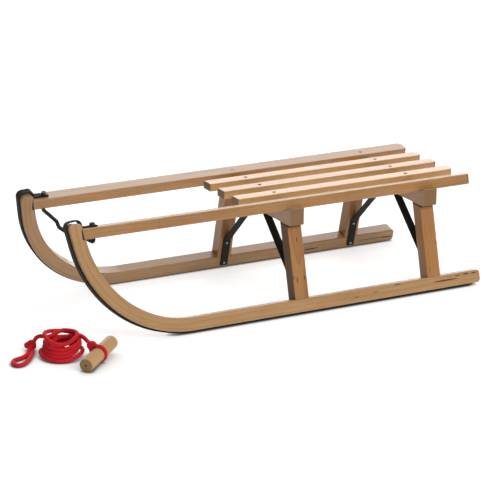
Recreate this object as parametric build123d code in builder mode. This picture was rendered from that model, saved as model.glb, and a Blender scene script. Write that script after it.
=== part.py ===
# Wooden sled: two bentwood runners with steel shoes, two yokes of a cross beam on splayed legs,
# five seat slats, a tie rod between the horns, and a tow rope with a wooden handle lying beside it.
# Millimetres. X runs forward, Y to the left, Z up, origin on the floor under the middle of the sled.
import os
from math import atan2, cos, pi, radians, sin, tan

from build123d import *

os.makedirs("parts", exist_ok=True)

# Stance
overall_length = 897.0
seat_height = 222.0
half_track = 174.7
side_tilt = 14.5
joint_clearance = 0.2

# Runners, bent up to the horns
runner_width = 29.0
runner_height = 26.0
bend_sweep = 80.0
inner_bend_lift = 4.0
horn_rise = 12.1
horn_straight = 48.0
horn_thickness = 27.5
horn_tip_fall = 2.4
horn_round = 9.0
runner_end_round = 7.0
runner_edge_round = 2.0

# Steel shoes, wrapped over the horns on to the rails
shoe_width = 14.0
shoe_thickness = 3.0
shoe_gap = 0.1
shoe_end_setback = 17.0
shoe_tip_gap = 0.6
shoe_tip_rise = 2.2
shoe_back_gap = 0.3
shoe_tip_radius = 10.0
tongue_overhang = 8.0

# Yokes: a cross beam on two legs, twice along the sled
beam_overhang = 37.5
beam_width = 31.5
beam_depth = 28.5
beam_edge_round = 2.5
leg_width = 31.5
leg_thickness = 29.0
leg_edge_round = 2.0
tenon_width = 18.0
tenon_thickness = 12.0
tenon_depth = 14.0

# Seat slats and the two canted side rails that reach the horns
slat_length = 502.0
slat_setback = 3.3
slat_front_overhang = 88.0
slat_rear_overhang = 106.5
slat_width = 30.0
slat_thickness = 15.5
slat_pitch = 61.0
slat_end_round = 11.0
slat_edge_round = 1.5
rail_width = 32.5
rail_height = 21.0
rail_rise = 1.8
rail_cant = 11.5
rail_setback = 1.3
rail_rear_half_spacing = 121.0
rail_housing = 3.0
rail_seat_depth = 3.5
rail_edge_round = 2.5

# Flat steel braces from the runners over the legs to the beams
brace_width = 16.0
brace_thickness = 3.0
brace_foot_height = 6.0
brace_bend_height = 68.0
brace_bend_radius = 12.0
brace_top_offset = 24.0
brace_flange_end = 5.0

# Tie rod under the rails, its thinner ends bent up through rail and shoe
rod_diameter = 7.5
rod_pin_diameter = 6.0
rod_drop = 9.5
rod_bend_radius = 7.0
rod_bow = 8.0
rod_setback = 28.5
rod_end_proud = 0.5
rod_dip_half_width = 36.0
rod_dip_floor_half_width = 24.0
rod_dip_depth = 9.0
rod_dip_radius = 7.0
nut_across_flats = 10.0
nut_height = 4.0
washer_diameter = 14.0
washer_thickness = 1.0

# Tow rope and its handle
rope_diameter = 8.0
rope_gap = 0.3
rope_arc_share = 0.45
coil_origin = Vector(487.2, 181.2, 0)
coil_base_radius = 44.5
coil_top_radius = 34.5
coil_hole_radius = 18.0
coil_height = 47.5
coil_edge_round = 4.0
handle_diameter = 24.0
handle_near_end = Vector(480.1, 277.8, 12.1)
handle_far_end = Vector(393.0, 201.4, 20.3)
handle_end_round = 1.5
handle_centre_hole = 3.0
knot_radius = 8.0
handle_knot_centre = Vector(446.9, 230.4, 31.0)
handle_knot_direction = Vector(-0.5, 0.3, 0.5)
handle_knot_length = 3.0
end_knot_centre = Vector(527.9, 126.5, 8.5)
end_knot_direction = Vector(0.85, -0.35, 0)
end_knot_length = 9.0

# Places along the sled, from its rear end
rear_x = -overall_length / 2
rail_rear = rear_x + rail_setback
slat_rear = rear_x + slat_setback
yoke_places = {
    "front": slat_rear + slat_length - slat_front_overhang,
    "rear": slat_rear + slat_rear_overhang,
}

# Heights over the floor
rail_top = seat_height + rail_rise
beam_top = seat_height - slat_thickness
beam_bottom = beam_top - beam_depth

# The leaning plane of the left runner, from the middle of its underside
tilt = radians(side_tilt)
lean = Vector(0, -sin(tilt), cos(tilt))
inward = Vector(0, -cos(tilt), -sin(tilt))
sole_rise = shoe_width / 2 * sin(tilt)
wood_base = Vector(0, half_track, sole_rise) + lean * (shoe_thickness + shoe_gap)
side_plane = Plane(origin=wood_base, x_dir=(1, 0, 0), z_dir=inward)
rail_top_height = (rail_top - wood_base.Z) / cos(tilt)

# Bend: its outer arc is tangent to the sole and to the horn, its inner arc has a higher middle
rise_angle = radians(90 - bend_sweep)
horn_height = rail_top_height + horn_rise
bend_radius = (horn_height - horn_straight * cos(rise_angle)) / (1 - sin(rise_angle))
inner_radius = bend_radius + inner_bend_lift - runner_height
inner_swell = horn_thickness - runner_height + inner_bend_lift * (1 - sin(rise_angle))
inner_setback = inner_swell / cos(rise_angle)


def horn_reach(height):
    """Distance of the horn's front from the bend's start, at a height above the runner's underside."""
    arc_end = bend_radius * (1 - sin(rise_angle))
    return bend_radius * cos(rise_angle) + (height - arc_end) * tan(rise_angle)


# The shoe's rounded crown is the foremost point, so that the bend's start follows from the length
shoe_offset = shoe_gap + shoe_thickness / 2
shoe_crown = horn_height + shoe_tip_gap + shoe_thickness / 2
crown_reach = horn_reach(shoe_crown) + shoe_offset / cos(rise_angle)
crown_tilt = atan2(shoe_tip_rise, horn_thickness)
crown_round = (sin(rise_angle) + cos(crown_tilt)) / cos(rise_angle - crown_tilt) - 1
bend_x = overall_length / 2 - shoe_thickness / 2 - crown_reach + shoe_tip_radius * crown_round


def horn_back_x(height):
    """X of the horn's back at a height above the runner's underside."""
    return bend_x + horn_reach(height) - horn_thickness / cos(rise_angle)


# Rail line: through the rear beam's seat and the middle of the horn
cant = radians(rail_cant)
horn_centre_y = wood_base.Y - rail_top_height * sin(tilt)
rail_front = horn_back_x(rail_top_height) + rail_housing
rail_slope = (rail_rear_half_spacing - horn_centre_y) / (rail_front - yoke_places["rear"])


def rail_half_spacing(x):
    """Distance of the rail's top middle from the centre plane at a place along the sled."""
    return horn_centre_y + (rail_front - x) * rail_slope


rail_forward = Vector(1, -rail_slope, 0).normalized()
rail_side = Vector(rail_slope, 1, 0).normalized()
rail_up = Vector(0, 0, 1) * cos(cant) - rail_side * sin(cant)
rail_plane = Plane(origin=(0, rail_half_spacing(0), rail_top), x_dir=rail_forward, z_dir=rail_up)
rod_x = rail_front - rod_setback


def save(part, name):
    """Labels a finished piece and writes it to its own file."""
    part.label = name
    export_step(part, f"parts/{name}.step")


def save_pair(part, name):
    """Writes a left piece and its mirror image."""
    save(part, f"{name}_left")
    save(part.mirror(Plane.XZ), f"{name}_right")


def leg_plane(x):
    """Plane across a left leg at the runner's top, its inner face flush with the runner's."""
    inset = (runner_width - leg_thickness) / 2
    origin = side_plane.from_local_coords(Vector(x, runner_height, inset))
    return Plane(origin=origin, x_dir=(1, 0, 0), z_dir=lean)


def leg_reach(x):
    """Length of a leg's axis from the runner's top to the beam's underside."""
    return (beam_bottom - leg_plane(x).origin.Z) / cos(tilt)


# Left runner: one outline of lines and arcs, cut for the leg tenons and the rail's end
with BuildPart() as runner:
    with BuildSketch(side_plane) as runner_outline:
        with BuildLine():
            outer_arc = CenterArc((bend_x, bend_radius), bend_radius, -90, bend_sweep)
            inner_centre = (bend_x - inner_setback, bend_radius + inner_bend_lift)
            inner_arc = CenterArc(inner_centre, inner_radius, -90, bend_sweep)
            tip_front = (bend_x + horn_reach(horn_height), horn_height)
            tip_back = (horn_back_x(horn_height - horn_tip_fall), horn_height - horn_tip_fall)
            Polyline(inner_arc @ 0, (rear_x, runner_height), (rear_x, 0), outer_arc @ 0)
            Polyline(outer_arc @ 1, tip_front, tip_back, inner_arc @ 1)
        make_face()
        fillet(runner_outline.vertices().group_by(Axis.X)[0], runner_end_round)
        fillet(runner_outline.vertices().sort_by(Axis.Y)[-2:], horn_round)
    extrude(amount=runner_width / 2, both=True)
    across = Axis(side_plane.origin, side_plane.z_dir)
    runner_sides = runner.faces().sort_by(across)
    fillet(runner_sides[0].edges() + runner_sides[-1].edges(), runner_edge_round)
    for x in yoke_places.values():
        with BuildSketch(leg_plane(x)):
            Rectangle(tenon_width + joint_clearance, tenon_thickness + joint_clearance)
        extrude(amount=-tenon_depth - joint_clearance, mode=Mode.SUBTRACT)
    with BuildSketch(rail_plane.offset(joint_clearance)):
        with Locations((rail_front - horn_thickness / 2 + joint_clearance, 0)):
            Rectangle(horn_thickness, 2 * rail_width)
    extrude(amount=-rail_height - 2 * joint_clearance, mode=Mode.SUBTRACT)
save_pair(runner.part, "runner")

# Left shoe: a strip under the runner, round the bend, over the tip and down to the rail
with BuildPart() as shoe:
    half = shoe_thickness / 2
    with BuildSketch(side_plane):
        with BuildLine() as shoe_line:
            Line((rear_x + shoe_end_setback, -shoe_offset), (bend_x, -shoe_offset))
            front = CenterArc((bend_x, bend_radius), bend_radius + shoe_offset, -90, bend_sweep)
            crown_front = Vector(bend_x + crown_reach, shoe_crown)
            back_crown = shoe_crown + shoe_tip_rise
            crown_back = Vector(horn_back_x(back_crown) - half - shoe_back_gap, back_crown)
            foot_height = rail_top_height + half
            foot = Vector(horn_back_x(foot_height) - half - shoe_back_gap, foot_height)
            FilletPolyline(front @ 1, crown_front, crown_back, foot, radius=[shoe_tip_radius, shoe_tip_radius])
        trace(shoe_line.line, shoe_thickness)
    extrude(amount=shoe_width / 2, both=True)
    tongue_front = horn_back_x(rail_top_height) - shoe_back_gap
    tongue_rear = rod_x - tongue_overhang
    with BuildSketch(rail_plane):
        with Locations(((tongue_front + tongue_rear) / 2, 0)):
            Rectangle(tongue_front - tongue_rear, shoe_width)
        with Locations((rod_x, 0)):
            Circle(rod_pin_diameter / 2 + joint_clearance, mode=Mode.SUBTRACT)
    extrude(amount=shoe_thickness)
save_pair(shoe.part, "shoe")

# Left side rail: canted and toed in, round at the rear, housed in the horn at the front
with BuildPart() as side_rail:
    with BuildSketch(rail_plane) as rail_outline:
        with Locations(((rail_front + rail_rear) / 2, 0)):
            Rectangle(rail_front - rail_rear, rail_width)
        fillet(rail_outline.vertices().group_by(Axis.X)[0], slat_end_round)
    extrude(amount=-rail_height)
    rail_faces = side_rail.faces().sort_by(Axis(rail_plane.origin, rail_up))
    fillet(rail_faces[0].edges() + rail_faces[-1].edges(), rail_edge_round)
    with BuildSketch(rail_plane):
        with Locations((rod_x, 0)):
            Circle(rod_pin_diameter / 2 + joint_clearance)
    extrude(amount=-rail_height, mode=Mode.SUBTRACT)
save_pair(side_rail.part, "side_rail")

# Three inner slats
for name, row in (("left", 1), ("centre", 0), ("right", -1)):
    with BuildPart() as slat:
        with BuildSketch(Plane.XY.offset(beam_top)) as slat_outline:
            with Locations((slat_rear + slat_length / 2, row * slat_pitch)):
                Rectangle(slat_length, slat_width)
            fillet(slat_outline.vertices().group_by(Axis.X)[0], slat_end_round)
        extrude(amount=slat_thickness)
        fillet(slat.faces().sort_by(Axis.Z)[-1].edges(), slat_edge_round)
    save(slat.part, f"seat_slat_{name}")

# Cross beams: flat under the slats, rising at the ends with the cant of the rails, which are let in
for place, x in yoke_places.items():
    with BuildPart() as beam_cuts:
        with BuildSketch(rail_plane):
            with Locations((x, 0)):
                Rectangle(2 * beam_width, rail_width + 2 * joint_clearance)
        extrude(amount=-rail_height)
        with BuildSketch(leg_plane(x).offset(leg_reach(x) - leg_thickness)):
            Rectangle(tenon_width + joint_clearance, tenon_thickness + joint_clearance)
        extrude(amount=leg_thickness + tenon_depth + joint_clearance)
    with BuildPart() as beam:
        seat_y = rail_half_spacing(x) + rail_height * sin(cant)
        seat_z = rail_top - rail_height * cos(cant)
        end_y = rail_half_spacing(x) + beam_overhang
        lip_z = seat_z + rail_seat_depth
        end_z = lip_z + (end_y - seat_y) * tan(cant)
        knee_y = seat_y + (beam_top - lip_z) / tan(cant)
        with BuildSketch(Plane.YZ.offset(x)):
            with BuildLine():
                Polyline(
                    (-end_y, beam_bottom), (end_y, beam_bottom), (end_y, end_z), (knee_y, beam_top),
                    (-knee_y, beam_top), (-end_y, end_z), close=True,
                )
            make_face()
        extrude(amount=beam_width / 2, both=True)
        ends = beam.edges().group_by(Axis.Y)
        fillet(ends[0] + ends[-1], beam_edge_round)
        add(beam_cuts.part, mode=Mode.SUBTRACT)
        add(beam_cuts.part.mirror(Plane.XZ), mode=Mode.SUBTRACT)
    save(beam.part, f"cross_beam_{place}")

# Legs: leaning with the runners, tenoned into runner and beam
for place, x in yoke_places.items():
    with BuildPart() as leg:
        reach = leg_reach(x)
        with BuildSketch(leg_plane(x)) as leg_section:
            Rectangle(leg_width, leg_thickness)
            fillet(leg_section.vertices(), leg_edge_round)
        extrude(amount=reach + leg_thickness)
        split(bisect_by=Plane.XY.offset(beam_bottom), keep=Keep.BOTTOM)
        with BuildSketch(leg_plane(x).offset(-tenon_depth)):
            Rectangle(tenon_width, tenon_thickness)
        extrude(amount=reach + 2 * tenon_depth)
    save_pair(leg.part, f"leg_{place}")

# Braces: flat strips bent from the runner over the leg to the beam's underside
for place, x in yoke_places.items():
    with BuildPart() as brace:
        stand_off = (runner_width + brace_thickness) / 2
        low = side_plane.from_local_coords(Vector(x, brace_foot_height, stand_off))
        bend = side_plane.from_local_coords(Vector(x, brace_bend_height, stand_off))
        flange_z = beam_bottom - brace_thickness / 2
        with BuildSketch(Plane.YZ.offset(x)):
            with BuildLine() as brace_line:
                FilletPolyline(
                    (low.Y, low.Z), (bend.Y, bend.Z), (brace_top_offset, flange_z), (brace_flange_end, flange_z),
                    radius=[brace_bend_radius, brace_bend_radius],
                )
            trace(brace_line.line, brace_thickness)
        extrude(amount=brace_width / 2, both=True)
    save_pair(brace.part, f"brace_{place}")

# Tie rod: bowed forward, with a wide dip in the middle, shouldered under the rails
rod_shoulder = rail_plane.from_local_coords(Vector(rod_x, 0, -rail_height))
rod_corner = rail_plane.from_local_coords(Vector(rod_x, 0, -rail_height - rod_drop))
dip_x = rod_corner.X + rod_bow
half_route = [
    rod_shoulder,
    rod_corner,
    Vector(dip_x, rod_dip_half_width, rod_corner.Z),
    Vector(dip_x, rod_dip_floor_half_width, rod_corner.Z - rod_dip_depth),
]
rod_route = half_route + [Vector(p.X, -p.Y, p.Z) for p in reversed(half_route)]
half_radii = [rod_bend_radius, rod_dip_radius, rod_dip_radius]
rod_pin_length = rail_height + shoe_thickness + washer_thickness + nut_height + rod_end_proud
left_pin = Plane(origin=rod_shoulder, z_dir=rail_up)
right_pin = Plane(
    origin=(rod_shoulder.X, -rod_shoulder.Y, rod_shoulder.Z), z_dir=(rail_up.X, -rail_up.Y, rail_up.Z)
)
with BuildPart() as tie_rod:
    with BuildLine() as rod_line:
        FilletPolyline(*rod_route, radius=half_radii + half_radii[::-1])
    with BuildSketch(Plane(origin=rod_shoulder, z_dir=rail_up * -1)):
        Circle(rod_diameter / 2)
    sweep()
    with BuildSketch(left_pin, right_pin):
        Circle(rod_pin_diameter / 2)
    extrude(amount=rod_pin_length)
save(tie_rod.part, "tie_rod")
print("tow point", round(dip_x, 1), round(rod_corner.Z - rod_dip_depth, 1))

# Nuts with their washers on the rod's ends
with BuildPart() as horn_nut:
    nut_seat = rail_plane.offset(shoe_thickness)
    with BuildSketch(nut_seat):
        with Locations((rod_x, 0)):
            Circle(washer_diameter / 2)
            Circle(rod_pin_diameter / 2 + joint_clearance, mode=Mode.SUBTRACT)
    extrude(amount=washer_thickness)
    with BuildSketch(nut_seat.offset(washer_thickness)):
        with Locations((rod_x, 0)):
            RegularPolygon(nut_across_flats / 2, 6, major_radius=False)
            Circle(rod_pin_diameter / 2 + joint_clearance, mode=Mode.SUBTRACT)
    extrude(amount=nut_height)
save_pair(horn_nut.part, "horn_nut")

# Handle: a turned dowel with a groove for the rope and a lathe centre in each end
handle_axis = (handle_far_end - handle_near_end).normalized()
handle_length = (handle_far_end - handle_near_end).length
handle_middle = (handle_near_end + handle_far_end) / 2
handle_plane = Plane(origin=handle_middle, x_dir=handle_axis, z_dir=handle_axis.cross(Vector(0, 0, 1)))
groove_radius = rope_diameter / 2 + rope_gap
with BuildPart() as tow_handle:
    with BuildSketch(handle_plane):
        with Locations((0, handle_diameter / 4)):
            Rectangle(handle_length, handle_diameter / 2)
        with Locations((0, handle_diameter / 2)):
            Circle(groove_radius, mode=Mode.SUBTRACT)
        with Locations((-handle_length / 2, 0), (handle_length / 2, 0)):
            Rectangle(2 * handle_centre_hole, handle_centre_hole, mode=Mode.SUBTRACT)
    revolve(axis=Axis(handle_middle, handle_axis))
    handle_ends = tow_handle.edges().filter_by(GeomType.CIRCLE).group_by(SortBy.RADIUS)[-1]
    handle_rims = handle_ends.sort_by(Axis(handle_middle, handle_axis))
    fillet([handle_rims[0], handle_rims[-1]], handle_end_round)
save(tow_handle.part, "tow_handle")


def capsule(centre, direction, length, radius):
    """Round-ended solid that a knot fills, of a length between the middles of its ends."""
    plane = Plane(origin=centre, z_dir=direction)
    with BuildPart() as knot:
        with BuildSketch(plane.offset(-length / 2)):
            Circle(radius)
        extrude(amount=length)
        with Locations(plane.offset(-length / 2), plane.offset(length / 2)):
            Sphere(radius)
    return knot.part


def coil_solid(extra):
    """Outer shape of the coiled rope, grown by a gap."""
    base = coil_base_radius + extra
    top = coil_top_radius + extra
    hole = coil_hole_radius - extra
    crown = coil_height + extra
    with BuildPart() as coil:
        with BuildSketch(Plane(origin=coil_origin, x_dir=(1, 0, 0), z_dir=(0, -1, 0))) as coil_profile:
            with BuildLine():
                Polyline((hole, 0), (base, 0), (top, crown), (hole, crown), close=True)
            make_face()
            fillet(coil_profile.vertices(), coil_edge_round)
        revolve(axis=Axis(coil_origin, (0, 0, 1)))
    return coil.part


def rope_tube(points, cuts):
    """Tube along straight runs and the largest tangent arcs, trimmed by what it runs into."""
    radii = []
    for before, corner, after in zip(points, points[1:], points[2:]):
        shorter = min((corner - before).length, (after - corner).length)
        turn = radians((corner - before).get_angle(after - corner))
        radii.append(rope_arc_share * shorter / tan(turn / 2))
    with BuildPart() as tube:
        with BuildLine() as line:
            FilletPolyline(*points, radius=radii)
        route = line.wire()
        with BuildSketch(Plane(origin=route @ 0, z_dir=route % 0)):
            Circle(rope_diameter / 2)
        sweep()
        ideal = pi * (rope_diameter / 2) ** 2 * route.length
        print(f"rope tube {route.length:.1f} mm, volume / ideal {tube.part.volume / ideal:.3f}")
        print("radii", [round(r, 1) for r in radii])
        for cut in cuts:
            add(cut, mode=Mode.SUBTRACT)
    return tube.part


# Route points of the rope's free stretches
handle_lead_points = [
    Vector(461.2, 180.3, 36.5),
    Vector(453.6, 187.2, 37.0),
    Vector(448.4, 196.7, 35.2),
    Vector(445.8, 207.7, 32.0),
    Vector(445.2, 218.3, 30.0),
    Vector(446.9, 230.4, 31.0),
]
end_lead_points = [
    Vector(497.8, 158.6, 36.2),
    Vector(509.3, 158.5, 36.0),
    Vector(517.3, 151.5, 36.5),
    Vector(521.3, 143.0, 31.0),
    Vector(523.4, 136.9, 22.8),
    Vector(524.6, 133.3, 16.2),
]
loop_points = [
    Vector(535.6, 132.6, 6.0),
    Vector(542.3, 147.0, 4.5),
    Vector(556.8, 158.5, 4.1),
    Vector(571.0, 167.5, 4.1),
    Vector(583.2, 176.2, 4.1),
    Vector(590.0, 187.0, 4.1),
    Vector(587.5, 198.5, 4.1),
    Vector(578.0, 201.5, 4.1),
    Vector(566.5, 195.0, 4.1),
    Vector(553.3, 182.0, 4.1),
    Vector(541.3, 165.5, 4.1),
    Vector(532.8, 149.5, 4.6),
    Vector(527.3, 136.1, 6.4),
]

# Knots, and the handle's knot and the coil grown by a gap for the ropes that run into them
handle_knot = capsule(handle_knot_centre, handle_knot_direction, handle_knot_length, knot_radius)
end_knot = capsule(end_knot_centre, end_knot_direction, end_knot_length, knot_radius)
handle_knot_clear = capsule(handle_knot_centre, handle_knot_direction, handle_knot_length, knot_radius + rope_gap)
coil_clear = coil_solid(rope_gap)
save(handle_knot, "tow_rope_handle_knot")
save(end_knot, "tow_rope_end_knot")
save(coil_solid(0), "tow_rope_coil")
save(rope_tube(handle_lead_points, [coil_clear, handle_knot_clear]), "tow_rope_handle_lead")
save(rope_tube(end_lead_points, [coil_clear]), "tow_rope_end_lead")
save(rope_tube(loop_points, []), "tow_rope_loop")

# Hitch: the turn of rope in the handle's groove
with BuildPart() as tow_rope_hitch:
    with BuildSketch(handle_plane):
        with Locations((0, handle_diameter / 2)):
            Circle(rope_diameter / 2)
    revolve(axis=Axis(handle_middle, handle_axis))
    add(handle_knot_clear, mode=Mode.SUBTRACT)
save(tow_rope_hitch.part, "tow_rope_hitch")
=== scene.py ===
# Looks of the wooden sled: finishes, screws, tow rope with its knots, floor, light and camera.
import math
from collections import namedtuple

import bpy
import numpy as np
from mathutils import Matrix, Vector


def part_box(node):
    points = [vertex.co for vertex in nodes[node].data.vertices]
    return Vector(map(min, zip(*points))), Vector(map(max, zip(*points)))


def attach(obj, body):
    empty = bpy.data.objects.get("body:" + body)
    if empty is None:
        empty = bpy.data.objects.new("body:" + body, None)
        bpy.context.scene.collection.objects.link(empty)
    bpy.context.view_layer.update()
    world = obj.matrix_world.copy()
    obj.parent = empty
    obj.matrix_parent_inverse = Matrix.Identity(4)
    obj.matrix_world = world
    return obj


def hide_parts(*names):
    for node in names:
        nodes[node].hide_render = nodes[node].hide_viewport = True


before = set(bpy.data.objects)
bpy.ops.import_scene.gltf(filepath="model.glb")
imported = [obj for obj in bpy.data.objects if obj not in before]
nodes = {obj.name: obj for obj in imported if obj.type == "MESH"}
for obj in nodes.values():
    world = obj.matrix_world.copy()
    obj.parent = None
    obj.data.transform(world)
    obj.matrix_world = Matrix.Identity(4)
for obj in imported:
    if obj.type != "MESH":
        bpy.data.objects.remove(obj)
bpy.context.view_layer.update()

scene = bpy.context.scene
along_x = Vector((1, 0, 0))
along_y = Vector((0, 1, 0))
along_z = Vector((0, 0, 1))


def node_middle(name):
    """The middle of a CAD node's box."""
    low, high = (Vector(corner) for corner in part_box(name))
    return (low + high) / 2


# Camera, solved from the photograph's edges: where it looks, how far off and how it is turned, in degrees
camera_target = Vector((-0.0101, 0.0, 0.0864))
camera_distance = 4.7108
camera_yaw = 28.13
camera_pitch = 17.646
camera_roll = 0.375
camera_focal_pixels = 2318.5
picture_pixels = 500
sensor_width = 36.0

# Leaning sides: the middle of the left runner's underside, and where and how wide its wood bends up
side_tilt = math.radians(14.5)
side_base = Vector((0.0, 0.17392, 0.00475))
bend_start = 0.2107
bend_radius = 0.23124
runner_half_width = 0.0145

# Horns: how far they lean, and how far forward their backs lie, square to them
horn_lean = math.radians(10.0)
horn_back = 0.3755

# Yokes, slats and rails
yoke_places = [node_middle(f"cross_beam_{place}").x for place in ("front", "rear")]
beam_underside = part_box("cross_beam_front")[0][2]
slat_rows = [node_middle(f"seat_slat_{row}").y for row in ("right", "centre", "left")]
slat_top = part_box("seat_slat_centre")[1][2]
rail_top = 0.2238
rail_half_spacing = 0.1203
rail_cant = math.radians(11.5)

# Steel: the braces' thickness, and how far the shoes reach below the runners
brace_thickness = 0.003
shoe_depth = 0.0031

# Tow rope and its handle
rope_diameter = 0.008
handle_near_end = Vector((0.4826, 0.2833, 0.0135))
handle_far_end = Vector((0.3955, 0.2069, 0.0217))
handle_radius = 0.0134
handle_axis = (handle_far_end - handle_near_end).normalized()
handle_across = handle_axis.cross(along_z).normalized()
handle_middle = (handle_near_end + handle_far_end) / 2
handle_knot_centre = Vector((0.4469, 0.2304, 0.0310))
end_knot_centre = Vector((0.5269, 0.1270, 0.0109))
coil_middle = node_middle("tow_rope_coil")
coil_origin = Vector((coil_middle.x, coil_middle.y, 0.0))


def new_material(name):
    """A material with its node tree and shader."""
    material = bpy.data.materials.new(name)
    material.use_nodes = True
    return material, material.node_tree, material.node_tree.nodes["Principled BSDF"]


def add_node(tree, kind, inputs=None, **settings):
    """One shader node; an input is a value or the socket that feeds it."""
    made = tree.nodes.new(kind)
    for key, value in settings.items():
        setattr(made, key, value)
    for socket, value in (inputs or {}).items():
        if isinstance(value, bpy.types.NodeSocket):
            tree.links.new(value, made.inputs[socket])
        else:
            made.inputs[socket].default_value = value
    return made


def math_node(tree, operation, *values, clamp=False):
    """The result of one sum on numbers or sockets."""
    inputs = dict(enumerate(values))
    return add_node(tree, "ShaderNodeMath", inputs, operation=operation, use_clamp=clamp).outputs[0]


def square_sum(tree, first, second):
    """The sum of two numbers' squares."""
    squares = [math_node(tree, "MULTIPLY", value, value) for value in (first, second)]
    return math_node(tree, "ADD", *squares)


def dot_node(tree, vector, direction):
    """How far a vector reaches along a direction."""
    inputs = {0: vector, 1: tuple(direction)}
    return add_node(tree, "ShaderNodeVectorMath", inputs, operation="DOT_PRODUCT").outputs["Value"]


def noise_node(tree, vector, scale, detail=2.0, roughness=0.5):
    """Noise between 0 and 1."""
    inputs = {"Vector": vector, "Scale": scale, "Detail": detail, "Roughness": roughness}
    return add_node(tree, "ShaderNodeTexNoise", inputs).outputs["Fac"]


def range_node(tree, value, low, high, to_low=0.0, to_high=1.0):
    """A value's place between two limits, smoothly."""
    inputs = {"Value": value, "From Min": low, "From Max": high, "To Min": to_low, "To Max": to_high}
    return add_node(tree, "ShaderNodeMapRange", inputs, interpolation_type="SMOOTHSTEP").outputs["Result"]


def mix_colour(tree, share, first, second):
    """Two colours mixed by a share."""
    made = add_node(tree, "ShaderNodeMix", data_type="RGBA")
    for socket, value in ((made.inputs[0], share), (made.inputs[6], first), (made.inputs[7], second)):
        if isinstance(value, bpy.types.NodeSocket):
            tree.links.new(value, socket)
        else:
            socket.default_value = value
    return made.outputs[2]


def object_place(tree):
    """Where a shaded point lies in the sled's frame."""
    return add_node(tree, "ShaderNodeTexCoord").outputs["Object"]


def side_directions(side):
    """Up along a leaning side, and inwards across it."""
    lean = Vector((0, -side * math.sin(side_tilt), math.cos(side_tilt)))
    inward = Vector((0, -side * math.cos(side_tilt), -math.sin(side_tilt)))
    return lean, inward


def side_place(x, height, depth, side):
    """A point of a leaning side: along the sled, up from the runner's underside and inwards."""
    lean, inward = side_directions(side)
    return Vector((x, side * side_base.y, side_base.z)) + lean * height + inward * depth


def straight_grain(along, across):
    """Coordinates of a straight piece: along its grain and two ways across."""
    third = along.cross(across)

    def coordinates(tree):
        place = object_place(tree)
        return [dot_node(tree, place, v) for v in (along, across, third)]

    return coordinates


def side_heights(tree, side):
    """Coordinates of a leaning side: along the sled, up from the runner's underside and inwards."""
    lean, inward = side_directions(side)
    base = Vector((0, side * side_base.y, side_base.z))
    place = object_place(tree)
    height = math_node(tree, "SUBTRACT", dot_node(tree, place, lean), base.dot(lean))
    return dot_node(tree, place, along_x), height, dot_node(tree, place, inward)


def leg_grain(side):
    """Coordinates of a leg: up its grain, along the sled and inwards."""

    def coordinates(tree):
        x, height, depth = side_heights(tree, side)
        return height, x, depth

    return coordinates


def runner_grain(side):
    """Coordinates of a runner, whose grain follows the bend: along it, up from its underside and inwards."""

    def coordinates(tree):
        x, height, depth = side_heights(tree, side)
        ahead = math_node(tree, "MAXIMUM", math_node(tree, "SUBTRACT", x, bend_start), 0.0)
        drop = math_node(tree, "SUBTRACT", bend_radius, height)
        from_centre = math_node(tree, "SQRT", square_sum(tree, ahead, drop))
        turn = math_node(tree, "ARCTAN2", ahead, drop)
        along = math_node(tree, "MULTIPLY_ADD", turn, bend_radius, math_node(tree, "MINIMUM", x, bend_start))
        return along, math_node(tree, "SUBTRACT", bend_radius, from_centre), depth

    return coordinates


def height_above_floor(tree):
    """How high a shaded point lies."""
    return dot_node(tree, object_place(tree), along_z)


def reach_to_horn(side):
    """How far forward a shaded point lies, square to a horn's back."""

    def coordinate(tree):
        x, height = side_heights(tree, side)[:2]
        rise = math_node(tree, "MULTIPLY", height, -math.sin(horn_lean))
        return math_node(tree, "MULTIPLY_ADD", x, math.cos(horn_lean), rise)

    return coordinate


def scaled(colour, share):
    """A colour made darker or lighter."""
    return (colour[0] * share, colour[1] * share, colour[2] * share, 1.0)


# Noise in the wood, stretched along the grain: its scale along and across, its detail and its roughness
GrainNoise = namedtuple("GrainNoise", "along across detail roughness")
grain_noises = {
    "waver": GrainNoise(3.0, 24.0, 2.0, 0.5),
    "patches": GrainNoise(5.0, 30.0, 3.0, 0.5),
    "warmth": GrainNoise(16.0, 70.0, 3.0, 0.5),
    "fibres": GrainNoise(14.0, 900.0, 3.0, 0.6),
    "flecks": GrainNoise(260.0, 1500.0, 1.0, 0.5),
    "dashes": GrainNoise(70.0, 650.0, 1.0, 0.5),
}

# Growth rings: where the pith lies from a piece, how far they waver, how close they are and how sharp
pith_across = 0.055
pith_inward = 0.03
ring_waver = 0.012
rings_per_metre = 240.0
ring_sharpness = 2.2

# Share of each pattern in the wood's tone, and the limits between which a pattern shows
ring_share = 0.26
patch_share = 0.75
fibre_share = 0.50
fleck_share = 0.26
dash_share = 0.45
tone_limits = (0.30, 1.05)
warm_limits = (0.40, 0.68)
fleck_limits = (0.60, 0.72)
dash_limits = (0.66, 0.74)
warm_tint = (1.0, 0.84, 0.66)

# Surface of the wood: its least roughness, and what fibres and flecks add or take
least_roughness = 0.44
fibre_roughness = 0.16
fleck_depth = 0.5

# Dark details and painted shade: their tone as a share of the wood's dark tone, how strong they are and where
# they fade.
# The end tone is also painted shade on the legs' faces that look along the sled; the joint and hole tones are
# painted shade
fleck_tone = 0.5
end_grain_and_shade_tone = 0.42
mark_tone = 0.08
mark_sway = 2.4
mark_edge = (1.4, 0.6)
# Painted shade at the joints
joint_shade_tone = 0.06
joint_shade_strength = 0.97
# Painted shade in and round the handle's centre holes
hole_shade_tone = 0.08
hole_shade_strength = 0.93
hole_shade_edge = (0.0026, 0.0015)


def grain_noise(tree, flow, kind):
    """Noise of one kind along the grain."""
    row = grain_noises[kind]
    inputs = {0: flow, 1: (row.along, row.across, row.across)}
    stretched = add_node(tree, "ShaderNodeVectorMath", inputs, operation="MULTIPLY").outputs[0]
    return noise_node(tree, stretched, 1.0, row.detail, row.roughness)


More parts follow.
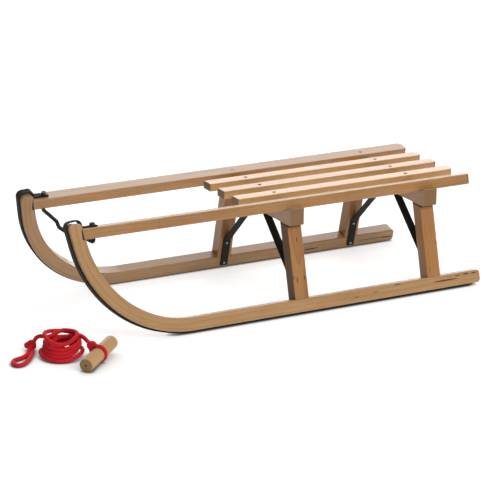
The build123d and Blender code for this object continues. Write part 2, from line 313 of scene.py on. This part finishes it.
def growth_rings(tree, across, inward, waver):
    """Growth rings round the pith, each from 0 to 1."""
    beside = math_node(tree, "ADD", across, pith_across)
    below = math_node(tree, "ADD", inward, pith_inward)
    distance = math_node(tree, "SQRT", square_sum(tree, beside, below))
    distance = math_node(tree, "MULTIPLY_ADD", waver, ring_waver, distance)
    place = math_node(tree, "FRACT", math_node(tree, "MULTIPLY", distance, rings_per_metre))
    return math_node(tree, "POWER", place, ring_sharpness)


def mark_share(tree, mark, along, across, sway):
    """How far a shaded point lies in a dark mark, which sways with the grain."""
    far = math_node(tree, "DIVIDE", math_node(tree, "SUBTRACT", along, mark.along), mark.half_length)
    off = math_node(tree, "DIVIDE", math_node(tree, "SUBTRACT", across, mark.across), mark.half_width)
    reach = square_sum(tree, far, math_node(tree, "ADD", off, sway))
    return math_node(tree, "MULTIPLY", range_node(tree, reach, *mark_edge), mark.strength)


def end_grain_and_shade_share(tree, direction, strength, turn):
    """How far a face is a cut end of the grain; on the legs, how far a face looks along the sled, for painted
    shade.
    """
    normal = add_node(tree, "ShaderNodeNewGeometry").outputs["Normal"]
    facing = math_node(tree, "ABSOLUTE", dot_node(tree, normal, direction))
    return math_node(tree, "MULTIPLY", range_node(tree, facing, *turn), strength)


def joint_shade_share(tree, coordinate, limits):
    """How far a shaded point lies in the painted shade line of a joint."""
    return range_node(tree, coordinate(tree), *limits, 0.0, joint_shade_strength)


def hole_shade_share(tree, middle, axis):
    """How far a shaded point lies in the painted shade in and round a hole about an axis."""
    inputs = {0: object_place(tree), 1: tuple(middle)}
    reach = add_node(tree, "ShaderNodeVectorMath", inputs, operation="SUBTRACT").outputs[0]
    length = add_node(tree, "ShaderNodeVectorMath", {0: reach}, operation="LENGTH").outputs["Value"]
    whole = math_node(tree, "POWER", length, 2.0)
    axis_part = math_node(tree, "POWER", dot_node(tree, reach, axis), 2.0)
    off_axis = math_node(tree, "SQRT", math_node(tree, "SUBTRACT", whole, axis_part, clamp=True))
    return range_node(tree, off_axis, *hole_shade_edge, 0.0, hole_shade_strength)


def wood_material(name, grain, offset, tones, coat, marks=(), end=None, joint=None, hole=None):
    """Clear-varnished beech: growth rings, fibres, flecks, dark marks and darker end grain, with painted
    shade on the legs' faces that look along the sled, along a joint and in a hole.
    """
    light, dark = tones
    material, tree, shader = new_material(name)
    along, across, inward = grain(tree)
    shifted = [math_node(tree, "ADD", v, o) for v, o in zip((along, across, inward), offset)]
    flow = add_node(tree, "ShaderNodeCombineXYZ", dict(enumerate(shifted))).outputs[0]
    noise = {kind: grain_noise(tree, flow, kind) for kind in grain_noises}
    rings = growth_rings(tree, across, inward, noise["waver"])
    flecks = range_node(tree, noise["flecks"], *fleck_limits)
    dashes = range_node(tree, noise["dashes"], *dash_limits)

    tone = math_node(tree, "MULTIPLY", noise["patches"], patch_share)
    tone = math_node(tree, "MULTIPLY_ADD", rings, ring_share, tone)
    tone = math_node(tree, "MULTIPLY_ADD", noise["fibres"], fibre_share, tone)
    warm = (*(part * share for part, share in zip(light, warm_tint)), 1.0)
    base = mix_colour(tree, range_node(tree, noise["warmth"], *warm_limits), light, warm)
    colour = mix_colour(tree, range_node(tree, tone, *tone_limits), base, dark)
    for pattern, strength in ((flecks, fleck_share), (dashes, dash_share)):
        share = math_node(tree, "MULTIPLY", pattern, strength)
        colour = mix_colour(tree, share, colour, scaled(dark, fleck_tone))
    sway = math_node(tree, "MULTIPLY", math_node(tree, "SUBTRACT", noise["waver"], 0.5), mark_sway)
    for mark in marks:
        share = mark_share(tree, mark, along, across, sway)
        colour = mix_colour(tree, share, colour, scaled(dark, mark_tone))
    # Darker cut ends of the grain; on the legs, painted shade on the faces that look along the sled
    if end is not None:
        share = end_grain_and_shade_share(tree, *end)
        colour = mix_colour(tree, share, colour, scaled(dark, end_grain_and_shade_tone))
        tree.links.new(math_node(tree, "MULTIPLY_ADD", share, -coat, coat), shader.inputs["Coat Weight"])
    # Painted shade along a joint
    if joint is not None:
        colour = mix_colour(tree, joint_shade_share(tree, *joint), colour, scaled(dark, joint_shade_tone))
    # Painted shade in and round a hole
    if hole is not None:
        colour = mix_colour(tree, hole_shade_share(tree, *hole), colour, scaled(dark, hole_shade_tone))
    tree.links.new(colour, shader.inputs["Base Color"])

    roughness = math_node(tree, "MULTIPLY_ADD", noise["fibres"], fibre_roughness, least_roughness)
    tree.links.new(roughness, shader.inputs["Roughness"])
    shader.inputs["Specular IOR Level"].default_value = 0.2
    shader.inputs["Coat Weight"].default_value = coat
    shader.inputs["Coat Roughness"].default_value = 0.16
    relief = math_node(tree, "MULTIPLY_ADD", flecks, -fleck_depth, noise["fibres"])
    bump = add_node(tree, "ShaderNodeBump", {"Strength": 0.22, "Distance": 0.0003, "Height": relief})
    tree.links.new(bump.outputs[0], shader.inputs["Normal"])
    return material


def steel_material(name, kind):
    """Steel or a coating on it, with a faint unevenness between two colours."""
    cloud_roughness = 0.2
    material, tree, shader = new_material(name)
    place = object_place(tree)
    cloud = noise_node(tree, place, scale=60.0, detail=3.0)
    grit = noise_node(tree, place, scale=1400.0)
    tree.links.new(mix_colour(tree, cloud, kind.low, kind.high), shader.inputs["Base Color"])
    roughness = math_node(tree, "MULTIPLY_ADD", cloud, cloud_roughness, kind.roughness)
    tree.links.new(roughness, shader.inputs["Roughness"])
    shader.inputs["Metallic"].default_value = kind.metallic
    shader.inputs["Specular IOR Level"].default_value = kind.specular
    bump = add_node(tree, "ShaderNodeBump", {"Strength": 0.15, "Distance": 0.0002, "Height": grit})
    tree.links.new(bump.outputs[0], shader.inputs["Normal"])
    return material


def rope_material():
    """Red braided cord; the weave's own coordinates run along and round it."""
    dark_red = (0.32, 0.003, 0.010, 1.0)
    bright_red = (0.82, 0.011, 0.024, 1.0)
    yarns_per_strand = 3
    # Darkening along the yarns: their pattern, with painted shade in the grooves between them
    yarn_and_groove_shade = 0.12
    yarn_relief = 0.4
    red_limits = (0.25, 0.75)
    material, tree, shader = new_material("red_braid")
    weave = add_node(tree, "ShaderNodeUVMap", uv_map="weave").outputs["UV"]
    parts = add_node(tree, "ShaderNodeSeparateXYZ", {0: weave})
    turn = math_node(tree, "MULTIPLY", parts.outputs["X"], yarns_per_strand * 2 * math.pi)
    yarn = math_node(tree, "SINE", turn)
    fuzz = noise_node(tree, object_place(tree), scale=900.0, detail=3.0, roughness=0.6)
    # Yarn stripes, with painted shade in their grooves
    tone = math_node(tree, "MULTIPLY_ADD", yarn, yarn_and_groove_shade, fuzz)
    colour = mix_colour(tree, range_node(tree, tone, *red_limits), dark_red, bright_red)
    tree.links.new(colour, shader.inputs["Base Color"])
    shader.inputs["Roughness"].default_value = 0.75
    shader.inputs["Specular IOR Level"].default_value = 0.25
    shader.inputs["Sheen Weight"].default_value = 0.08
    shader.inputs["Sheen Tint"].default_value = (1.0, 0.4, 0.4, 1.0)
    relief = math_node(tree, "MULTIPLY_ADD", yarn, yarn_relief, fuzz)
    bump = add_node(tree, "ShaderNodeBump", {"Strength": 0.35, "Distance": 0.0003, "Height": relief})
    tree.links.new(bump.outputs[0], shader.inputs["Normal"])
    return material


# Wood by kind of piece: its light and dark tone, its share of varnish, how dark its cut ends are (on the
# legs, how dark the painted shade is on their faces that look along the sled), and how far a face turns
# towards the end of the grain before that shows, at first and in full
varnish = 0.45
flat_end = (0.6, 0.95)
round_end = (0.15, 0.55)
Wood = namedtuple("Wood", "light dark coat end_strength end_turn")
wood_kinds = {
    "runner": Wood((0.49, 0.300, 0.144), (0.34, 0.192, 0.084), varnish, 0.0, flat_end),
    "leg": Wood((0.41, 0.206, 0.076), (0.27, 0.124, 0.040), varnish, 0.45, flat_end),
    "side_rail": Wood((0.42, 0.230, 0.096), (0.29, 0.148, 0.056), 0.55, 0.9, round_end),
    "seat_slat": Wood((0.52, 0.312, 0.144), (0.38, 0.213, 0.091), 0.32, 0.95, round_end),
    "cross_beam": Wood((0.40, 0.230, 0.100), (0.27, 0.148, 0.060), varnish, 0.6, flat_end),
    "tow_handle": Wood((0.58, 0.370, 0.180), (0.45, 0.270, 0.122), 0.05, 0.75, flat_end),
}

# Pieces made darker or lighter than their kind: the far runner darker as painted shade, the others lighter
painted_shade_and_piece_tones = {"runner_right": 0.76, "seat_slat_left": 1.14, "seat_slat_right": 1.05, "leg_rear_left": 1.10}
# Legs whose faces that look along the sled carry more or less painted shade
painted_face_shades = {"leg_front_left": 1.0, "leg_front_right": 0.0}

# Painted shade lines at the joints, under a beam's overhang and in the gap at a horn: where they start and
# are full, up a leg to its beam and along a rail to its horn
beam_overhang_shade = (beam_underside - 0.0058, beam_underside - 0.0036)
horn_gap_shade = (horn_back - 0.0019, horn_back - 0.0009)

# Dark marks in the wood
Mark = namedtuple("Mark", "along across half_length half_width strength")
wood_marks = {
    "runner_left": (
        (-0.3650, 0.0150, 0.0300, 0.0013, 0.95),
        (-0.4145, 0.0211, 0.0070, 0.0012, 0.9),
        (-0.4340, 0.0210, 0.0065, 0.0012, 0.9),
        (-0.3945, 0.0205, 0.0065, 0.0011, 0.75),
        (-0.3740, 0.0208, 0.0065, 0.0009, 0.5),
        (-0.2510, 0.0232, 0.0075, 0.0012, 0.7),
        (-0.1985, 0.0153, 0.0080, 0.0010, 0.6),
        (-0.1535, 0.0113, 0.0060, 0.0010, 0.6),
    ),
    "runner_right": (
        (-0.2415, 0.0105, 0.0200, 0.0015, 0.9),
        (-0.3920, 0.0117, 0.0390, 0.0011, 0.75),
        (-0.4320, 0.0100, 0.0160, 0.0015, 0.9),
    ),
    "leg_front_left": (
        (0.1435, -0.0335, 0.0048, 0.0012, 0.75),
        (0.0700, -0.0180, 0.0048, 0.0012, 0.75),
        (0.0650, -0.0247, 0.0062, 0.0012, 0.75),
        (0.0668, -0.0407, 0.0048, 0.0012, 0.75),
    ),
    "leg_rear_left": (
        (0.0950, -0.3500, 0.0050, 0.0011, 0.5),
        (0.0420, -0.3300, 0.0050, 0.0011, 0.5),
    ),
}


def paint(name, material):
    """Gives a CAD node its finish."""
    mesh = nodes[name].data
    mesh.materials.clear()
    mesh.materials.append(material)


random = np.random.default_rng(12)
finishes = {}
for name in sorted(nodes):
    kind = next((k for k in wood_kinds if name.startswith(k)), None)
    if kind is None:
        continue
    wood = wood_kinds[kind]
    side = -1 if name.endswith("right") else 1
    grain, end_grain_and_shade_direction, joint, hole = {
        "runner": (runner_grain(side), None, None, None),
        # On the legs, the cut-end darkening along the sled is painted shade
        "leg": (leg_grain(side), along_x, (height_above_floor, beam_overhang_shade), None),
        "side_rail": (straight_grain(along_x, along_y), along_x, (reach_to_horn(side), horn_gap_shade), None),
        "seat_slat": (straight_grain(along_x, along_y), along_x, None, None),
        "cross_beam": (straight_grain(along_y, along_z), along_y, None, None),
        "tow_handle": (straight_grain(handle_axis, handle_across), handle_axis, None,
                       (handle_middle, handle_axis)),
    }[kind]
    # Tones scaled per piece, with painted shade on the far runner
    tones = [scaled(tone, painted_shade_and_piece_tones.get(name, 1.0)) for tone in (wood.light, wood.dark)]
    marks = [Mark(*row) for row in wood_marks.get(name, ())]
    end = None
    if end_grain_and_shade_direction is not None:
        end = (end_grain_and_shade_direction, painted_face_shades.get(name, wood.end_strength), wood.end_turn)
    offset = random.uniform(0, 3, 3)
    finishes[name] = wood_material(f"wood_{name}", grain, offset, tones, wood.coat, marks, end, joint, hole)
    paint(name, finishes[name])

# Kinds of steel: two colours, how much of a metal, roughness and gloss
Steel = namedtuple("Steel", "low high metallic roughness specular")
steel_kinds = {
    "black_steel": Steel((0.012, 0.012, 0.010, 1.0), (0.024, 0.024, 0.021, 1.0), 0.0, 0.55, 0.1),
    "zinc_steel": Steel((0.28, 0.28, 0.27, 1.0), (0.42, 0.42, 0.40, 1.0), 1.0, 0.28, 0.1),
    "matt_steel": Steel((0.010, 0.010, 0.009, 1.0), (0.022, 0.022, 0.020, 1.0), 0.0, 0.8, 0.0),
    "nut_steel": Steel((0.05, 0.05, 0.05, 1.0), (0.12, 0.12, 0.11, 1.0), 1.0, 0.2, 0.1),
}
steel = {name: steel_material(name, kind) for name, kind in steel_kinds.items()}
for name in nodes:
    if name.startswith(("shoe", "brace", "tie_rod")):
        paint(name, steel["black_steel"])
    if name.startswith("horn_nut"):
        paint(name, steel["nut_steel"])
red_braid = rope_material()


def add_piece(name, mesh, material):
    """Adds a piece of the scene that rides on the sled."""
    mesh.materials.append(material)
    mesh.polygons.foreach_set("use_smooth", np.ones(len(mesh.polygons), bool))
    piece = bpy.data.objects.new(name, mesh)
    scene.collection.objects.link(piece)
    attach(piece, "root")
    return piece


def screw_heads(name, places, radius, rise, material):
    """Low round heads with a cross recess, each at a point with the direction that it faces."""
    sides = 40
    rings = ((1.0, 0.0), (0.97, 0.35), (0.86, 0.7), (0.62, 0.93), (0.46, 0.98), (0.3, 1.0), (0.14, 1.0))
    recess_half_width = 0.15
    recess_reach = 0.5
    recess_floor = 0.25
    vertices, faces = [], []
    for place, axis in places:
        start = len(vertices)
        turn = axis.to_track_quat("Z", "Y")
        for share, lift in rings:
            for step in range(sides):
                angle = 2 * math.pi * step / sides
                across, up = share * math.cos(angle), share * math.sin(angle)
                in_cross = min(abs(across), abs(up)) < recess_half_width and share < recess_reach
                height = rise * (recess_floor if in_cross else lift)
                vertices.append(place + turn @ Vector((across * radius, up * radius, height)))
        vertices.append(place + turn @ Vector((0, 0, rise * recess_floor)))
        for ring in range(len(rings) - 1):
            for step in range(sides):
                here = start + ring * sides + step
                beside = start + ring * sides + (step + 1) % sides
                faces.append((here, beside, beside + sides, here + sides))
        last = start + (len(rings) - 1) * sides
        for step in range(sides):
            faces.append((last + step, last + (step + 1) % sides, len(vertices) - 1))
    mesh = bpy.data.meshes.new(name)
    mesh.from_pydata(vertices, [], faces)
    return add_piece(name, mesh, material)


def turned_handle():
    """The handle, turned on a lathe: rounded edges, a centre hole in each end and a groove for the rope."""
    sides = 64
    edge = 0.0016
    edge_steps = 4
    hole_radius = 0.0015
    hole_tip_radius = 0.0002
    hole_depth = 0.003
    groove_half_width = 0.0043
    groove_depth = 0.00344
    groove_steps = 6
    sharp_angle = math.radians(40)
    half = (handle_far_end - handle_near_end).length / 2
    rings = [(hole_depth, hole_tip_radius), (hole_depth, hole_radius), (0.0, hole_radius)]
    for step in range(edge_steps + 1):
        angle = math.pi / 2 * step / edge_steps
        rings.append((edge - edge * math.cos(angle), handle_radius - edge + edge * math.sin(angle)))
    for step in range(groove_steps + 1):
        angle = math.pi / 2 * step / groove_steps
        along = half - groove_half_width * math.cos(angle)
        rings.append((along, handle_radius - groove_depth * math.sin(angle)))
    rings += [(2 * half - along, radius) for along, radius in reversed(rings[:-1])]
    other = handle_axis.cross(handle_across)
    vertices, faces = [], []
    for along, radius in rings:
        for step in range(sides):
            angle = 2 * math.pi * step / sides
            spoke = handle_across * math.cos(angle) + other * math.sin(angle)
            vertices.append(handle_near_end + handle_axis * along + spoke * radius)
    for ring in range(len(rings) - 1):
        for step in range(sides):
            here, beside = ring * sides + step, ring * sides + (step + 1) % sides
            faces.append((here, here + sides, beside + sides, beside))
    faces.append(tuple(range(sides)))
    faces.append(tuple(range((len(rings) - 1) * sides, len(rings) * sides))[::-1])
    mesh = bpy.data.meshes.new("turned_handle")
    mesh.from_pydata(vertices, [], faces)
    mesh.update()
    handle = add_piece("turned_handle", mesh, finishes["tow_handle"])
    mesh.set_sharp_from_angle(angle=sharp_angle)
    return handle


# Screws: through slats and rails into the yokes, through the braces, and up through the shoes
brace_screw_heights = (0.0115, 0.0600)
flange_screw_y = 0.0150
shoe_screw_places = (-0.400, -0.185, 0.020, 0.180)
seat_screws = [(Vector((x, y, slat_top)), along_z) for x in yoke_places for y in slat_rows]
rail_screws, brace_screws, shoe_screws = [], [], []
for x in yoke_places:
    for side in (1, -1):
        rail_up = Vector((0, -side * math.sin(rail_cant), math.cos(rail_cant)))
        rail_screws.append((Vector((x, side * rail_half_spacing, rail_top)), rail_up))
        inward = side_directions(side)[1]
        for height in brace_screw_heights:
            brace_screws.append((side_place(x, height, runner_half_width + brace_thickness, side), inward))
        brace_screws.append((Vector((x, side * flange_screw_y, beam_underside - brace_thickness)), -along_z))
for side in (1, -1):
    for x in shoe_screw_places:
        shoe_screws.append((side_place(x, -shoe_depth, 0.0, side), -side_directions(side)[0]))
screw_heads("seat_screws", seat_screws, radius=0.0038, rise=0.0004, material=steel["matt_steel"])
screw_heads("rail_screws", rail_screws, radius=0.0038, rise=0.0004, material=steel["nut_steel"])
screw_heads("brace_screws", brace_screws, radius=0.0027, rise=0.0013, material=steel["zinc_steel"])
screw_heads("shoe_screws", shoe_screws, radius=0.0030, rise=0.0003, material=steel["zinc_steel"])

# Route of the rope's free stretches
handle_lead = [
    (0.4452, 0.2183, 0.0300),
    (0.4458, 0.2077, 0.0320),
    (0.4484, 0.1967, 0.0366),
    (0.4536, 0.1872, 0.0390),
]
end_lead = [
    (0.4876, 0.1626, 0.0416),
    (0.4987, 0.1644, 0.0370),
    (0.5084, 0.1607, 0.0350),
    (0.5173, 0.1515, 0.0360),
    (0.5213, 0.1430, 0.0310),
    (0.5234, 0.1369, 0.0228),
    (0.5246, 0.1333, 0.0162),
]
loop = [
    (0.5360, 0.1393, 0.0060),
    (0.5453, 0.1554, 0.0046),
    (0.5547, 0.1630, 0.0041),
    (0.5647, 0.1676, 0.0041),
    (0.5738, 0.1696, 0.0041),
    (0.5826, 0.1741, 0.0041),
    (0.5889, 0.1894, 0.0041),
    (0.5862, 0.2003, 0.0041),
    (0.5784, 0.2019, 0.0041),
    (0.5682, 0.1964, 0.0041),
    (0.5548, 0.1823, 0.0041),
    (0.5408, 0.1625, 0.0042),
    (0.5311, 0.1455, 0.0050),
    (0.5267, 0.1347, 0.0070),
]

# Loose turns of the coil, in millimetres: radius and height at the right, back, left and front of each turn,
# seen as in the photograph. It goes down inside first and then climbs outside.
coil_turns = [
    ((26.0, 38.5), (24.0, 30.0), (20.0, 22.0), (17.0, 15.0)),
    ((14.0, 7.0), (29.0, 4.3), (40.0, 10.0), (40.6, 4.2)),
    ((40.4, 11.5), (38.0, 12.0), (34.0, 13.5), (37.4, 10.4)),
    ((32.5, 20.0), (35.0, 19.0), (32.5, 20.0), (35.0, 16.8)),
    ((35.5, 26.0), (35.0, 26.5), (31.5, 28.5), (32.5, 23.6)),
    ((34.5, 31.0), (36.5, 37.8), (32.0, 44.5), (30.0, 32.3)),
    ((31.0, 43.5), (27.0, 42.5)),
]
coil_first_quarter = 0.35
coil_last_quarter = 25.0
coil_yaw = math.radians(152.0)
coil_points_per_quarter = 4


def hitch_points():
    """One turn of rope in the handle's groove, from its knot round to the knot again, flatter below."""
    groove_lift = 0.0009
    flattening = 0.0013
    knot_reach = 0.006
    radial = handle_knot_centre - handle_middle
    radial = (radial - handle_axis * radial.dot(handle_axis)).normalized()
    other = handle_axis.cross(radial)
    turn = []
    for degrees in range(30, 331, 30):
        angle = math.radians(degrees)
        spoke = radial * math.cos(angle) + other * math.sin(angle)
        turn.append(handle_middle + spoke * (handle_radius + groove_lift + flattening * spoke.z))
    return [handle_knot_centre + other * knot_reach] + turn + [handle_knot_centre - other * knot_reach]


def coil_points():
    """The coil's turns, eased from quarter to quarter."""
    quarters = np.array([quarter for turn in coil_turns for quarter in turn]) / 1000
    first = math.ceil(coil_first_quarter * coil_points_per_quarter)
    last = math.floor(coil_last_quarter * coil_points_per_quarter)
    made = []
    for step in range(first, last + 1):
        place = step / coil_points_per_quarter
        before = min(int(place), len(quarters) - 2)
        share = place - before
        share = share * share * (3 - 2 * share)
        radius, height = quarters[before] * (1 - share) + quarters[before + 1] * share
        angle = coil_yaw + place * math.pi / 2
        made.append(coil_origin + Vector((radius * math.cos(angle), radius * math.sin(angle), height)))
    return made


def spline_line(points):
    """Points read from the smooth spline that a route controls."""
    curve = bpy.data.curves.new("route", "CURVE")
    curve.dimensions = "3D"
    curve.resolution_u = 12
    spline = curve.splines.new("NURBS")
    spline.points.add(len(points) - 1)
    for point, place in zip(spline.points, points):
        point.co = (*place, 1.0)
    spline.order_u = 3
    spline.use_endpoint_u = True
    holder = bpy.data.objects.new("route", curve)
    mesh = bpy.data.meshes.new_from_object(holder)
    line = np.array([v.co for v in mesh.vertices])
    bpy.data.meshes.remove(mesh)
    bpy.data.curves.remove(curve)
    return line


def knot_line(centre, long_way, facing, size):
    """Closed line of a pulled-tight overhand knot, with its half length, half height and half depth."""
    points = 97
    long_way = Vector(long_way).normalized()
    facing = Vector(facing)
    facing = (facing - long_way * facing.dot(long_way)).normalized()
    up = facing.cross(long_way)
    turns = np.linspace(0, 2 * math.pi, points)
    swell = (2 + np.cos(3 * turns)) / 3
    parts = (swell * np.cos(2 * turns), swell * np.sin(2 * turns), np.sin(3 * turns))
    line = np.array(centre)[None, :].repeat(len(turns), axis=0)
    for part, reach, way in zip(parts, size, (long_way, up, facing)):
        line += part[:, None] * reach * np.array(way)[None, :]
    return line


def even_line(line):
    """The same line with evenly spaced points, and the distance along it."""
    spacing = 0.0008
    run = np.concatenate([[0], np.cumsum(np.linalg.norm(np.diff(line, axis=0), axis=1))])
    at = np.linspace(0, run[-1], int(run[-1] / spacing) + 1)
    return np.stack([np.interp(at, run, line[:, k]) for k in range(3)], axis=1), at


def line_frames(line, closed):
    """Two directions across a line at each of its points, carried along without twist."""
    off_line = (0.3, 0.2, 0.9)
    tangent = np.roll(line, -1, axis=0) - np.roll(line, 1, axis=0) if closed else np.gradient(line, axis=0)
    tangent /= np.linalg.norm(tangent, axis=1)[:, None]
    normal = np.zeros_like(line)
    first = np.cross(tangent[0], off_line)
    normal[0] = first / np.linalg.norm(first)
    for i in range(1, len(line)):
        carried = normal[i - 1] - tangent[i] * (normal[i - 1] @ tangent[i])
        normal[i] = carried / np.linalg.norm(carried)
    return normal, np.cross(tangent, normal)


def braided_tube(name, line, at, closed=False):
    """A braided rope along an even line: strands cross over and under in relief."""
    sides = 28
    strands = 8
    pitch = 0.0062
    relief_height = 0.00030
    mean_radius = (rope_diameter - relief_height) / 2
    if closed:
        line, at = line[:-1], at[:-1]
    count = len(line)
    normal, binormal = line_frames(line, closed)
    round_share = np.arange(sides) / sides
    along_share = at / pitch
    rising = strands * round_share[None, :] + along_share[:, None] * 2
    falling = strands * round_share[None, :] - along_share[:, None] * 2
    relief = np.sin(math.pi * rising) * np.sin(math.pi * falling)
    radius = mean_radius + relief_height * relief
    angle = (2 * math.pi * round_share)[None, :, None]
    ring = normal[:, None, :] * np.cos(angle) + binormal[:, None, :] * np.sin(angle)
    vertices = (line[:, None, :] + ring * radius[:, :, None]).reshape(-1, 3)
    rows = np.arange(count if closed else count - 1)
    columns = np.arange(sides)
    here = rows[:, None] * sides + columns[None, :]
    right = rows[:, None] * sides + (columns[None, :] + 1) % sides
    up = (rows[:, None] + 1) % count * sides + columns[None, :]
    up_right = (rows[:, None] + 1) % count * sides + (columns[None, :] + 1) % sides
    faces = np.stack([here, right, up_right, up], axis=-1).reshape(-1, 4).tolist()
    if not closed:
        faces.append(list(range(sides))[::-1])
        faces.append(list(range((count - 1) * sides, count * sides)))
    mesh = bpy.data.meshes.new(name)
    mesh.from_pydata(vertices.tolist(), [], faces)
    weave = mesh.uv_layers.new(name="weave")
    quad_u = np.stack([columns, columns + 1, columns + 1, columns], axis=-1) / sides * strands
    quad_v = np.stack([rows, rows, rows + 1, rows + 1], axis=-1) * (along_share[1] * 2)
    uv_u = quad_u[None, :, :] + quad_v[:, None, :]
    uv_v = quad_u[None, :, :] - quad_v[:, None, :]
    uv = np.zeros((len(mesh.loops), 2), np.float32)
    uv[: uv_u.size, 0] = uv_u.ravel()
    uv[: uv_v.size, 1] = uv_v.ravel()
    weave.data.foreach_set("uv", uv.ravel())
    return add_piece(name, mesh, red_braid)


rope_route = (hitch_points() + [Vector(p) for p in handle_lead] + coil_points()
              + [Vector(p) for p in end_lead] + [Vector(p) for p in loop])
rope_path, rope_run = even_line(spline_line(rope_route))
rope = braided_tube("tow_rope", rope_path, rope_run)
handle_knot_line = knot_line(handle_knot_centre, long_way=(-0.5, 0.3, 0.5), facing=(0.45, 0.84, 0.3),
                             size=(0.0058, 0.0052, 0.0036))
handle_knot = braided_tube("handle_knot", *even_line(handle_knot_line), closed=True)
end_knot_line = knot_line(end_knot_centre, long_way=(0.85, -0.35, 0.0), facing=(0.35, 0.80, 0.50),
                          size=(0.0088, 0.0066, 0.0040))
end_knot = braided_tube("end_knot", *even_line(end_knot_line), closed=True)
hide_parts("tow_rope_coil", "tow_rope_end_lead", "tow_rope_handle_lead", "tow_rope_hitch",
            "tow_rope_loop")
handle = turned_handle()
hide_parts("tow_handle")
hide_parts("tow_rope_handle_knot")
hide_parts("tow_rope_end_knot")

# Floor: a pale light table that glows and keeps shadows faint. Painted contact shadows darken its colour and
# glow where things touch it, and painted shade dims its glow near the rope
floor_half = 20.0
floor_corners = ((-1, -1), (1, -1), (1, 1), (-1, 1))
floor_glow = 0.64
# Painted contact shadows: their reach, power and tone
contact_shadow_reach = 0.007
contact_shadow_power = 1.3
contact_shadow_tone = (0.06, 0.06, 0.06, 1.0)
floor_tone = (0.5, 0.5, 0.5, 1.0)
shade_reach = 0.04
shade_strength = 0.75
shade_limits = (0.160, 0.125)


def floor_openness(tree, reach):
    """How open the floor is to things within a reach, from 0 to 1."""
    return add_node(tree, "ShaderNodeAmbientOcclusion", {"Distance": reach}, samples=16).outputs["AO"]


def floor_material():
    """Matt floor that glows, with painted shadows: its colour and glow darken where things stand on it, and
    its glow dims near the rope.
    """
    material, tree, shader = new_material("pale_floor")
    inputs = {0: object_place(tree), 1: tuple(coil_origin)}
    from_coil = add_node(tree, "ShaderNodeVectorMath", inputs, operation="DISTANCE").outputs["Value"]
    closed = math_node(tree, "SUBTRACT", 1.0, floor_openness(tree, shade_reach))
    # Painted shade near the rope
    shade = math_node(tree, "MULTIPLY", range_node(tree, from_coil, *shade_limits), closed)
    # Painted contact shadows where things touch the floor
    contact_shadow_openness = floor_openness(tree, contact_shadow_reach)
    glow = math_node(tree, "MULTIPLY_ADD", shade, -shade_strength, floor_glow, clamp=True)
    glow = math_node(tree, "MULTIPLY", glow, math_node(tree, "POWER", contact_shadow_openness, contact_shadow_power))
    tree.links.new(mix_colour(tree, contact_shadow_openness, contact_shadow_tone, floor_tone), shader.inputs["Base Color"])
    tree.links.new(glow, shader.inputs["Emission Strength"])
    shader.inputs["Emission Color"].default_value = (1.0, 1.0, 1.0, 1.0)
    shader.inputs["Roughness"].default_value = 0.9
    shader.inputs["Specular IOR Level"].default_value = 0.0
    return material


floor_mesh = bpy.data.meshes.new("floor")
floor_mesh.from_pydata([(x * floor_half, y * floor_half, 0) for x, y in floor_corners], [], [(0, 1, 2, 3)])
floor_mesh.materials.append(floor_material())
floor = bpy.data.objects.new("floor", floor_mesh)
scene.collection.objects.link(floor)

# Light: faint all round, and large soft boxes from the near side, from above and from behind
world = bpy.data.worlds.new("studio")
scene.world = world
world.use_nodes = True
background = world.node_tree.nodes["Background"]
background.inputs["Color"].default_value = (1.0, 1.0, 1.0, 1.0)
background.inputs["Strength"].default_value = 0.08


def soft_box(name, place, aim, size, power):
    """A large lamp that looks at a point."""
    lamp = bpy.data.lights.new(name, "AREA")
    lamp.shape = "RECTANGLE"
    lamp.size, lamp.size_y = size
    lamp.energy = power
    holder = bpy.data.objects.new(name, lamp)
    scene.collection.objects.link(holder)
    holder.location = place
    holder.rotation_mode = "QUATERNION"
    holder.rotation_quaternion = (Vector(aim) - Vector(place)).to_track_quat("-Z", "Y")


soft_box("near", place=(-0.2, 2.7, 2.2), aim=(0, 0, 0.12), size=(2.0, 1.4), power=76.0)
soft_box("above", place=(-0.4, -0.2, 3.2), aim=(0, 0, 0), size=(2.6, 3.0), power=36.0)
soft_box("behind", place=(-0.8, -3.1, 1.45), aim=(0, 0, 0.1), size=(4.4, 2.6), power=140.0)

# The photograph's view
yaw, pitch, roll = (math.radians(v) for v in (camera_yaw, camera_pitch, camera_roll))
forward = Vector((-math.sin(yaw) * math.cos(pitch), -math.cos(yaw) * math.cos(pitch), -math.sin(pitch)))
level_right = forward.cross(along_z).normalized()
level_up = level_right.cross(forward)
right = level_right * math.cos(roll) + level_up * math.sin(roll)
up = level_up * math.cos(roll) - level_right * math.sin(roll)
camera_data = bpy.data.cameras.new("camera")
camera_data.sensor_width = sensor_width
camera_data.lens = camera_focal_pixels / picture_pixels * sensor_width
camera = bpy.data.objects.new("camera", camera_data)
scene.collection.objects.link(camera)
turn = Matrix((right, up, -forward)).transposed()
camera.matrix_world = Matrix.Translation(camera_target - forward * camera_distance) @ turn.to_4x4()
scene.camera = camera
scene.view_settings.view_transform = "Standard"
